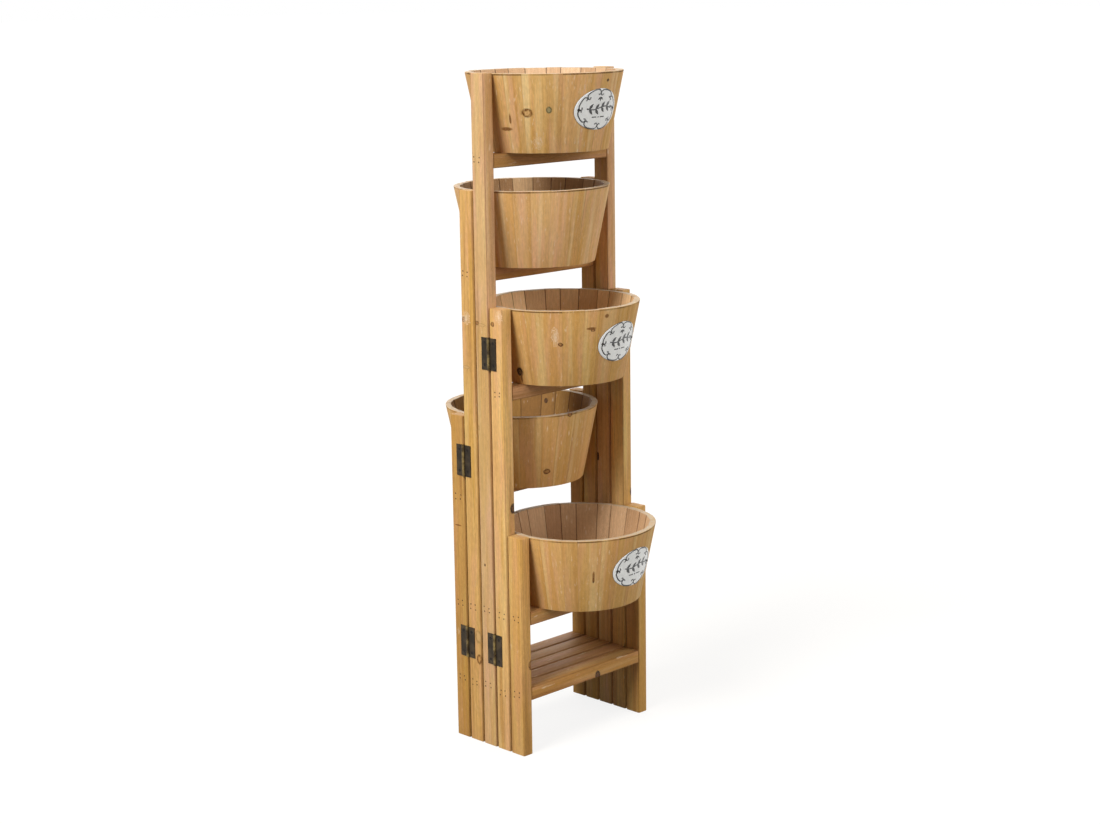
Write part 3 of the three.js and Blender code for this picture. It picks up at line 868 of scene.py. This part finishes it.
hinge = {
    "thickness": 0.0012,
    "parting": 0.0008,
    "knuckles": 5,
    "knuckleRadius": 0.0028,
    "boreRadius": 0.0017,
    "knuckleGap": 0.0004,
    "knuckleSteps": 32,
    "knuckleEase": 0.00025,
    "tabReach": 0.0020,  # from the pin axis to where a leaf's tabs enter the knuckles
    "screwInset": 0.009,
    "holeRadius": 0.0031,
    "shankRadius": 0.0015,
    "pinRadius": 0.0014,
    "pinHeadRadius": 0.0023,
    "pinHeadGap": 0.0002,
    "pinHead": ((0.0, 0.0008), (0.7, 0.0006), (1.0, 0.0002), (1.0, 0.0)),  # share of its radius, how high
}
screwHead = {
    "gap": 0.0002,  # between the head and its hole
    "sunk": 0.0001,
    "crossHalf": 0.0004,
    "crossReach": 0.0017,
    "crossDepth": 0.0006,
    "steps": 20,
}


def knuckleSpans(height, firstSlot):
    count, gap = hinge["knuckles"], hinge["knuckleGap"] / 2
    spans = []
    for slot in range(firstSlot, count, 2):
        foot = (slot / count - 0.5) * height + (gap if slot else 0)
        top = ((slot + 1) / count - 0.5) * height - (gap if slot < count - 1 else 0)
        spans.append((foot, top))
    return spans


def screwPlaces(height, width):
    across = (hinge["knuckleRadius"] + hinge["knuckleGap"] + width) / 2
    return [(across, end * (height / 2 - hinge["screwInset"])) for end in (-1, 1)]


# A leaf stands beyond its pin axis on +Y with the post behind it on -X. The pin axis is Z.
def makeLeaf(height, width, firstSlot):
    face = -hinge["parting"] / 2
    notch = hinge["knuckleRadius"] + hinge["knuckleGap"]
    spans = knuckleSpans(height, firstSlot)
    outline = [(notch, -height / 2), (width, -height / 2), (width, height / 2), (notch, height / 2)]
    for foot, top in reversed(spans):
        outline += [(notch, top), (hinge["tabReach"], top), (hinge["tabReach"], foot), (notch, foot)]
    bm = bmesh.new()
    verts = [bm.verts.new((face, y, z)) for y, z in outline]
    bmesh.ops.remove_doubles(bm, verts=bm.verts, dist=weldDistance)
    verts = [v for v in verts if v.is_valid]
    edges = [bm.edges.new(pair) for pair in zip(verts, verts[1:] + verts[:1])]
    for y, z in screwPlaces(height, width):
        hole = bmesh.ops.create_circle(
            bm, cap_ends=False, radius=hinge["holeRadius"], segments=24,
            matrix=Matrix.Translation((face, y, z)) @ Matrix.Rotation(math.pi / 2, 4, "Y"),
        )["verts"]
        edges += list({edge for vert in hole for edge in vert.link_edges})
    bmesh.ops.triangle_fill(bm, use_beauty=True, use_dissolve=False, edges=edges)
    backVerts = vertsOf(bmesh.ops.extrude_face_region(bm, geom=bm.faces[:]))
    bmesh.ops.translate(bm, vec=(-hinge["thickness"], 0, 0), verts=backVerts)
    narrow = hinge["shankRadius"] / hinge["holeRadius"]
    for y, z in screwPlaces(height, width):  # the countersink narrows towards the post
        ring = [v for v in backVerts if math.hypot(v.co.y - y, v.co.z - z) < hinge["holeRadius"] * 1.05]
        bmesh.ops.scale(bm, vec=(1, narrow, narrow), verts=ring, space=Matrix.Translation((0, -y, -z)))
    bmesh.ops.recalc_face_normals(bm, faces=bm.faces)
    bore, outer = hinge["boreRadius"], hinge["knuckleRadius"]
    for foot, top in spans:
        section = [(bore, foot), (outer, foot), (outer, top), (bore, top)]
        barrel = turnedPiece(section, hinge["knuckleSteps"], closed=True)
        rims = [
            e for e in barrel.edges
            if abs(e.verts[0].co.z - e.verts[1].co.z) < weldDistance
            and min(math.hypot(*v.co.xy) for v in e.verts) > outer * 0.98
        ]
        easeOff(barrel, rims, hinge["knuckleEase"], 2)
        for barrelFace in barrel.faces:
            barrelFace.material_index = 1
        join(bm, barrel)
    return bm


def makeScrew():
    radius, sunk = hinge["holeRadius"] - screwHead["gap"], screwHead["sunk"]
    half, arm = screwHead["crossHalf"], screwHead["crossReach"]
    bm = bmesh.new()
    bmesh.ops.create_circle(bm, cap_ends=True, radius=radius, segments=screwHead["steps"])
    for value in (-arm, -half, half, arm):
        for axis in ((1, 0, 0), (0, 1, 0)):
            bmesh.ops.bisect_plane(bm, geom=whole(bm), plane_co=[value * a for a in axis], plane_no=axis)
    cone = bmesh.ops.extrude_edge_only(bm, edges=[e for e in bm.edges if e.is_boundary])
    narrow = hinge["shankRadius"] / radius
    bmesh.ops.scale(bm, vec=(narrow, narrow, 1), verts=vertsOf(cone))
    bmesh.ops.translate(bm, vec=(0, 0, -(hinge["thickness"] - sunk)), verts=vertsOf(cone))
    bmesh.ops.holes_fill(bm, edges=[e for e in bm.edges if e.is_boundary], sides=0)
    cross = []
    for face in bm.faces:
        centre = face.calc_center_median()
        near, far = sorted((abs(centre.x), abs(centre.y)))
        if centre.z > -weldDistance and far < arm and near < half:
            cross.append(face)
    sunkCross = bmesh.ops.extrude_face_region(bm, geom=cross)
    bmesh.ops.translate(bm, vec=(0, 0, -screwHead["crossDepth"]), verts=vertsOf(sunkCross))
    bmesh.ops.translate(bm, vec=(0, 0, -sunk), verts=bm.verts)
    bmesh.ops.recalc_face_normals(bm, faces=bm.faces)
    return bm


def makePin(height):
    headFoot = height / 2 + hinge["pinHeadGap"]
    section = [(share * hinge["pinHeadRadius"], -headFoot - rise) for share, rise in hinge["pinHead"]]
    section.append((hinge["pinRadius"], -headFoot))
    section += [(radius, -z) for radius, z in reversed(section)]
    return turnedPiece(section, hinge["knuckleSteps"])


def makeHinge(name, dice):
    low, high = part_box(f"{name}_pin")
    side = 1 if low.x > 0 else -1
    axisPlace = Matrix.Translation((low + high) / 2)
    leafLow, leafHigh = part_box(f"{name}_front_leaf")
    height = leafHigh.z - leafLow.z
    width = abs((low + high).y / 2 - leafLow.y)
    pin = makePin(height)
    bmesh.ops.transform(pin, matrix=axisPlace, verts=pin.verts)
    finishPiece(pin, f"{name}_rivet", [rubbedBrass], bodyOf[f"{name}_pin"], "hinge_pin", [f"{name}_pin"])
    for leafName, reach, firstSlot in (("front", -1, 0), ("back", 1, 1)):
        node = f"{name}_{leafName}_leaf"
        # X outwards from the post, Y towards this leaf's own frame; half a turn keeps it right-handed
        turn = Matrix.Diagonal((side, reach, side * reach, 1))
        leaf = makeLeaf(height, width, firstSlot)
        bmesh.ops.transform(leaf, matrix=axisPlace @ turn, verts=leaf.verts)
        metals = [bronzedSteel, rubbedBrass]
        finishPiece(leaf, f"{name}_{leafName}_plate", metals, bodyOf[node], "hinge_steel", [node])
        screws = bmesh.new()
        for y, z in screwPlaces(height, width):
            screw = makeScrew()
            place = Matrix.Translation((-hinge["parting"] / 2, y, z)) @ Matrix.Rotation(math.pi / 2, 4, "Y")
            spun = Matrix.Rotation(dice.uniform(0, math.pi / 2), 4, "Z")
            bmesh.ops.transform(screw, matrix=axisPlace @ turn @ place @ spun, verts=screw.verts)
            join(screws, screw)
        finishPiece(screws, f"{name}_{leafName}_screws", [blackScrewSteel], bodyOf[node], "nail_steel")


screwDice = random.Random(7)
for pinNode in sorted(node for node in bodyOf if node.endswith("_pin")):
    makeHinge(pinNode.removesuffix("_pin"), screwDice)
print("hinges made")

brad = {
    "headRadius": 0.00135,
    "headHeight": 0.00020,
    "domeInset": 0.35,  # share of the head's radius
    "spacingAcross": 0.0122,
    "spacingUp": 0.0084,
    "waver": 0.0014,
    "drift": {  # how far each group strayed from its rung's middle, back and up
        "frame1_tub_rung": (-0.0023, 0.0018),
        "frame2_lower_rung": (0.0, -0.0053),
        "frame3_lower_rung": (0.0027, 0.0017),
        "frame3_middle_rung": (0.0022, 0.0029),
        "frame3_tub_rung": (0.0036, 0.0031),
        "frame4_lower_rung": (0.0026, -0.0028),
        "frame4_middle_rung": (0.0029, 0.0007),
        "frame4_tub_rung": (0.0040, 0.0044),
        "frame5_middle_rung": (0.0006, 0.0038),
    },
    "tubDrop": 0.009,  # rim to the brads that hold a tub to its posts
    "tubSpacing": 0.024,
    "tubBed": 0.9935,  # a stave's flat inside stands this far in from a true circle there
}


def makeBrad(bm, place, outward, turn):
    head = bmesh.new()
    bmesh.ops.create_circle(head, cap_ends=True, radius=brad["headRadius"], segments=10)
    faces = head.faces[:]
    bmesh.ops.inset_individual(head, faces=faces, thickness=brad["headRadius"] * brad["domeInset"])
    bmesh.ops.translate(head, vec=(0, 0, brad["headHeight"]), verts=faces[0].verts)
    skirt = bmesh.ops.extrude_edge_only(head, edges=[e for e in head.edges if e.is_boundary])
    bmesh.ops.translate(head, vec=(0, 0, -brad["headHeight"]), verts=vertsOf(skirt))
    bmesh.ops.holes_fill(head, edges=[e for e in head.edges if e.is_boundary], sides=0)
    bmesh.ops.recalc_face_normals(head, faces=head.faces)
    aim = outward.to_track_quat("Z", "Y").to_matrix().to_4x4()
    lifted = Matrix.Translation(place) @ aim @ Matrix.Rotation(turn, 4, "Z")
    bmesh.ops.transform(head, matrix=lifted, verts=head.verts)
    join(bm, head)


def makeBrads(number):
    dice = random.Random(number * 17)
    bm = bmesh.new()
    leftFace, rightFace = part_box(f"frame{number}_left_post")[0].x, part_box(f"frame{number}_right_post")[1].x
    for node in rungsOf(number):
        low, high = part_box(node)
        middle = (low + high) / 2 + Vector((0, *brad["drift"].get(node, (0, 0))))
        for side, outerX in ((-1, leftFace), (1, rightFace)):
            for stepY in (-0.5, 0.5):
                for stepZ in (-0.5, 0.5):
                    wander = Vector((0, dice.uniform(-1, 1), dice.uniform(-1, 1))) * brad["waver"]
                    across, up = stepY * brad["spacingAcross"], stepZ * brad["spacingUp"]
                    place = Vector((outerX, middle.y + across, middle.z + up)) + wander
                    makeBrad(bm, place, Vector((side, 0, 0)), dice.uniform(0, 1))
    stand, tubHeight = tubStand(number)
    slope = tub["taper"] / tubHeight
    for side in (-1, 1):
        for step in (-0.5, 0.5):
            height = tubHeight - brad["tubDrop"] - dice.random() * brad["waver"]
            reach = (outerRadius(height, tubHeight) - tub["wall"]) * brad["tubBed"]
            place = stand + Vector((side * reach, step * brad["tubSpacing"], height))
            makeBrad(bm, place, Vector((-side, 0, slope)).normalized(), dice.uniform(0, 1))
    finishPiece(bm, f"frame{number}_brads", [rustyBradSteel], f"frame{number}", "nail_steel")


for number in frameNumbers:
    makeBrads(number)
print("brads made")

plate = {
    "width": 0.105,
    "height": 0.072,
    "thickness": 0.0012,
    "backGap": 0.0002,
    "dropFromRim": 0.0635,
    "angles": {1: -84.0, 2: -82.0, 3: -88.0},  # degrees round the tub, -90 faces the front
    "flatRings": 9,
    "edge": ((0.955, 1.0), (0.982, 0.86), (0.996, 0.55), (1.0, 0.2), (0.994, 0.0)),  # width, thickness
    "spinSteps": 72,
    "nailPlace": 0.0440,
    "nailRadius": 0.0021,
    "nailGap": 0.0002,
    "nailDome": ((0.0, 0.0011), (0.5, 0.0010), (0.87, 0.0006), (1.0, 0.0)),
}
ornament = {
    "lineRadius": 0.00115,
    "lineFlat": 0.35,
    "paint": 0.00025,  # how far black shapes stand on the white
    "borderShare": 0.73,
    "scrollCount": 8,
    "scrollSpread": 1.04,  # scroll to the space that it has
    "scrollSteps": 44,
    "scrollSlack": 0.5,  # how much a scroll bends in the middle, how much at its ends, how suddenly
    "scrollCurl": 24.0,
    "scrollTightness": 1.7,
    "sprigReach": 0.028,
    "sprigSteps": 12,
    "leafPairs": 4,
    "leafLean": 0.85,
    "crownLean": 0.9,
    "tip": (0.0100, 0.0050),  # lengths and widths of the leaves
    "leaf": (0.0125, 0.0054),
    "bud": (0.0050, 0.0026),
    "crown": (0.0080, 0.0030),
    "dashDrop": 0.0135,
    "dash": (0.0045, 0.0150),
    "nailDiamond": (0.0030, 0.0052),
    "dashDiamond": (0.0016, 0.0016),
}


# Bends a flat piece round its tub: X along the rim, Y up the slope, Z outwards.
def ontoTub(bm, number):
    stand, tubHeight = tubStand(number)
    slope = math.atan2(tub["taper"], tubHeight)
    middleHeight = tubHeight - plate["dropFromRim"]
    for vert in bm.verts:
        across, up, out = vert.co
        height = middleHeight + up * math.cos(slope)
        surface = outerRadius(height, tubHeight)
        angle = math.radians(plate["angles"][number]) + across / surface
        reach = surface + (plate["backGap"] + out) * math.cos(slope)
        onStand = (reach * math.cos(angle), reach * math.sin(angle), height - out * math.sin(slope))
        vert.co = stand + Vector(onStand)


def makePlateBlank():
    thick, rings = plate["thickness"], plate["flatRings"]
    flatShare = plate["edge"][0][0]
    flats = [ring / rings * flatShare for ring in range(rings)]
    section = [(share, thick) for share in flats]
    section += [(share, thick * rise) for share, rise in plate["edge"]]
    section += [(share, 0.0) for share in reversed(flats)]
    bm = turnedPiece(section, plate["spinSteps"])
    bmesh.ops.scale(bm, vec=(plate["width"] / 2, plate["height"] / 2, 1), verts=bm.verts)
    for face in bm.faces:
        face.material_index = 0 if face.calc_center_median().z > thick * 0.6 else 1
    return bm


# A scroll drawn by its bend: curled tight at both ends, slack in the middle, and as wide as the span.
def scrollLine(span):
    steps = ornament["scrollSteps"]
    heading, point, points = 0.0, Vector((0, 0)), [Vector((0, 0))]
    for step in range(steps):
        fromMiddle = abs(2 * (step + 0.5) / steps - 1)
        curl = ornament["scrollCurl"] * fromMiddle ** ornament["scrollTightness"]
        heading += (ornament["scrollSlack"] + curl) / steps
        point = point + Vector((math.cos(heading), math.sin(heading)))
        points.append(point)
    chord = points[-1] - points[0]
    turn = Matrix.Rotation(-math.atan2(chord.y, chord.x), 2)
    points = [turn @ (p - (points[0] + points[-1]) / 2) for p in points]
    size = span / (max(p.x for p in points) - min(p.x for p in points))
    return [p * size for p in points]


def borderPlace(theta):
    wide, tall = (plate[key] / 2 * ornament["borderShare"] for key in ("width", "height"))
    place = Vector((wide * math.cos(theta), tall * math.sin(theta)))
    along = Vector((-wide * math.sin(theta), tall * math.cos(theta)))
    return place, along


def sprigPoint(share):
    return Vector((share * ornament["sprigReach"], 0.0025 * math.sin(share * 3.0) + 0.002))


def ornamentLines():
    steps, count = ornament["sprigSteps"], ornament["scrollCount"]
    lines = [[sprigPoint(step / steps) for step in range(-steps, steps + 1)]]
    for index in range(count):
        place, along = borderPlace(2 * math.pi * (index + 0.5) / count)
        span = along.length * 2 * math.pi / count * ornament["scrollSpread"]
        turn = Matrix.Rotation(math.atan2(along.y, along.x), 2)
        lines.append([place + turn @ point for point in scrollLine(span)])
    for side in (-1, 1):
        lines.append([Vector((side * reach, -ornament["dashDrop"])) for reach in ornament["dash"]])
    return lines


# Each leaf has its root, the way it points, and its length and width.
def ornamentLeaves():
    pairs, count = ornament["leafPairs"], ornament["scrollCount"]
    leaves = [(sprigPoint(1.0), 0.1, ornament["tip"])]
    for index in range(pairs):
        root = sprigPoint((index + 0.35) / pairs * 2 - 1)
        leaves += [(root, side * ornament["leafLean"], ornament["leaf"]) for side in (-1, 1)]
    for index in range(count):
        theta = 2 * math.pi * index / count
        place, along = borderPlace(theta)
        inward = math.atan2(along.y, along.x) + math.pi / 2
        if abs(math.sin(theta)) > 0.1:  # the ends have nails there
            root = place - Vector((math.cos(inward), math.sin(inward))) * 0.0045
            leaves.append((root, inward, ornament["bud"]))
    top = Vector((0, plate["height"] / 2 * ornament["borderShare"] - 0.0050))
    lean = ornament["crownLean"]
    leaves += [(top, -math.pi / 2 + side, ornament["crown"]) for side in (-lean, 0.0, lean)]
    return leaves


def addShape(bm, points):
    face = bm.faces.new([bm.verts.new((point.x, point.y, -ornament["paint"])) for point in points])
    raised = bmesh.ops.extrude_face_region(bm, geom=[face])
    bmesh.ops.translate(bm, vec=(0, 0, 2 * ornament["paint"]), verts=vertsOf(raised))


def makeOrnament():
    curve = bpy.data.curves.new("plateLines", "CURVE")
    curve.dimensions = "3D"
    curve.bevel_depth = ornament["lineRadius"]
    curve.bevel_resolution = 1
    curve.use_fill_caps = True
    for points in ornamentLines():
        spline = curve.splines.new("POLY")
        spline.points.add(len(points) - 1)
        for target, point in zip(spline.points, points):
            target.co = (point.x, point.y, 0.0, 1.0)
    holder = addObject("plateLines", curve)
    bm = bmesh.new()
    bm.from_mesh(bpy.data.meshes.new_from_object(holder))
    bpy.data.objects.remove(holder)
    bpy.data.curves.remove(curve)
    bmesh.ops.remove_doubles(bm, verts=bm.verts, dist=weldDistance)
    bmesh.ops.scale(bm, vec=(1, 1, ornament["lineFlat"]), verts=bm.verts)
    shapes = bmesh.new()
    for root, pointing, (length, width) in ornamentLeaves():
        turn = Matrix.Rotation(pointing, 2)
        shares = [step / 7 for step in range(8)]
        halves = [Vector((length * t, width / 2 * math.sin(math.pi * t ** 0.8))) for t in shares]
        outline = halves + [Vector((p.x, -p.y)) for p in reversed(halves[1:-1])]
        addShape(shapes, [root + turn @ point for point in outline])
    nailPlace = plate["nailPlace"]
    for centre, (wide, tall) in (
        ((-nailPlace, 0.0), ornament["nailDiamond"]),
        ((nailPlace, 0.0), ornament["nailDiamond"]),
        ((0.0, -ornament["dashDrop"]), ornament["dashDiamond"]),
    ):
        corners = ((wide, 0), (0, tall), (-wide, 0), (0, -tall))
        addShape(shapes, [Vector(centre) + Vector(corner) for corner in corners])
    bmesh.ops.recalc_face_normals(shapes, faces=shapes.faces)
    join(bm, shapes)
    bmesh.ops.translate(bm, vec=(0, 0, plate["thickness"]), verts=bm.verts)
    return bm


def makePlateNails():
    radius, foot = plate["nailRadius"], plate["thickness"] + plate["nailGap"]
    section = [(share * radius, foot + rise) for share, rise in plate["nailDome"]] + [(0.0, foot)]
    bm = bmesh.new()
    for side in (-1, 1):
        nail = turnedPiece(section, 16)
        bmesh.ops.translate(nail, vec=(side * plate["nailPlace"], 0, 0), verts=nail.verts)
        join(bm, nail)
    return bm


for number in plate["angles"]:
    for make, name, materials, slot in (
        (makePlateBlank, "plate", [whiteEnamel, plateEdge], "plate_enamel"),
        (makeOrnament, "plateOrnament", [blackEnamel], "plate_line"),
        (makePlateNails, "plateNails", [blackScrewSteel], "nail_steel"),
    ):
        bm = make()
        ontoTub(bm, number)
        finishPiece(bm, f"tub{number}_{name}", materials, f"frame{number}", slot)
print("enamel plates made")

stage = {
    "floorSize": 200.0,
    "floorColour": "#726F6A",
    "floorLift": 0.85,  # shown to the camera only, so that the open floor reads white
    "worldLevel": 0.27,
    "worldColour": "#FFFAF0",
}
# Angles in degrees, strength in watts per square metre. The key stands left and a little in front.
lamps = {
    "softKey": {"azimuth": -177.0, "elevation": 42.0, "angle": 26.0, "strength": 3.5},
    "frontFill": {"azimuth": -66.0, "elevation": 13.0, "angle": 60.0, "strength": 1.82},
    "backFill": {"azimuth": 55.0, "elevation": 20.0, "angle": 60.0, "strength": 1.25},
}


def seenDirectly(tree):
    path = addNode(tree, "LightPath")
    glossy = addNode(
        tree, "Math", {"operation": "MAXIMUM"},
        {0: path.outputs["Is Glossy Ray"], 1: path.outputs["Is Transmission Ray"]},
    )
    seen = addNode(tree, "Math", {"operation": "MAXIMUM"}, {0: path.outputs["Is Camera Ray"], 1: glossy})
    return seen


def makeStage():
    material, tree = newMaterial("whiteStudioFloor")
    lift = addNode(tree, "Math", {"operation": "MULTIPLY"}, {0: seenDirectly(tree), 1: stage["floorLift"]})
    glow = addNode(tree, "Emission", {}, {"Color": (1, 1, 1, 1), "Strength": lift})
    paint = addNode(tree, "BsdfDiffuse", {}, {"Color": linear(stage["floorColour"])})
    both = addNode(tree, "AddShader", {}, {0: glow, 1: paint})
    addNode(tree, "OutputMaterial", {}, {"Surface": both})
    bm = bmesh.new()
    bmesh.ops.create_grid(bm, x_segments=2, y_segments=2, size=stage["floorSize"] / 2)
    mesh = meshOf(bm, "studioFloor")
    mesh.materials.append(material)
    addObject("studioFloor", mesh)

    world = bpy.data.worlds.new("studioWhite")
    bpy.context.scene.world = world
    world.use_nodes = True
    tree = world.node_tree
    tree.nodes.clear()
    seen = seenDirectly(tree)
    strength = addNode(tree, "MapRange", {}, {"Value": seen, "To Min": stage["worldLevel"], "To Max": 1.0})
    tint = addNode(
        tree, "Mix", {"data_type": "RGBA"}, {0: seen, 6: linear(stage["worldColour"]), 7: (1, 1, 1, 1)}
    )
    sky = addNode(tree, "Background", {}, {"Color": tint.outputs[2], "Strength": strength})
    addNode(tree, "OutputWorld", {}, {"Surface": sky})


def makeLamp(name, lamp):
    azimuth, elevation = math.radians(lamp["azimuth"]), math.radians(lamp["elevation"])
    flat = math.cos(elevation)
    towards = Vector((math.cos(azimuth) * flat, math.sin(azimuth) * flat, math.sin(elevation)))
    light = bpy.data.lights.new(name, "SUN")
    light.angle = math.radians(lamp["angle"])
    light.energy = lamp["strength"]
    holder = addObject(name, light)
    holder.location = Vector(camera["target"]) + towards * 3
    holder.rotation_euler = towards.to_track_quat("Z", "Y").to_euler()


makeStage()
for lampName, lampSettings in lamps.items():
    makeLamp(lampName, lampSettings)
bpy.context.scene.view_settings.view_transform = "Standard"
print("stage and light made")
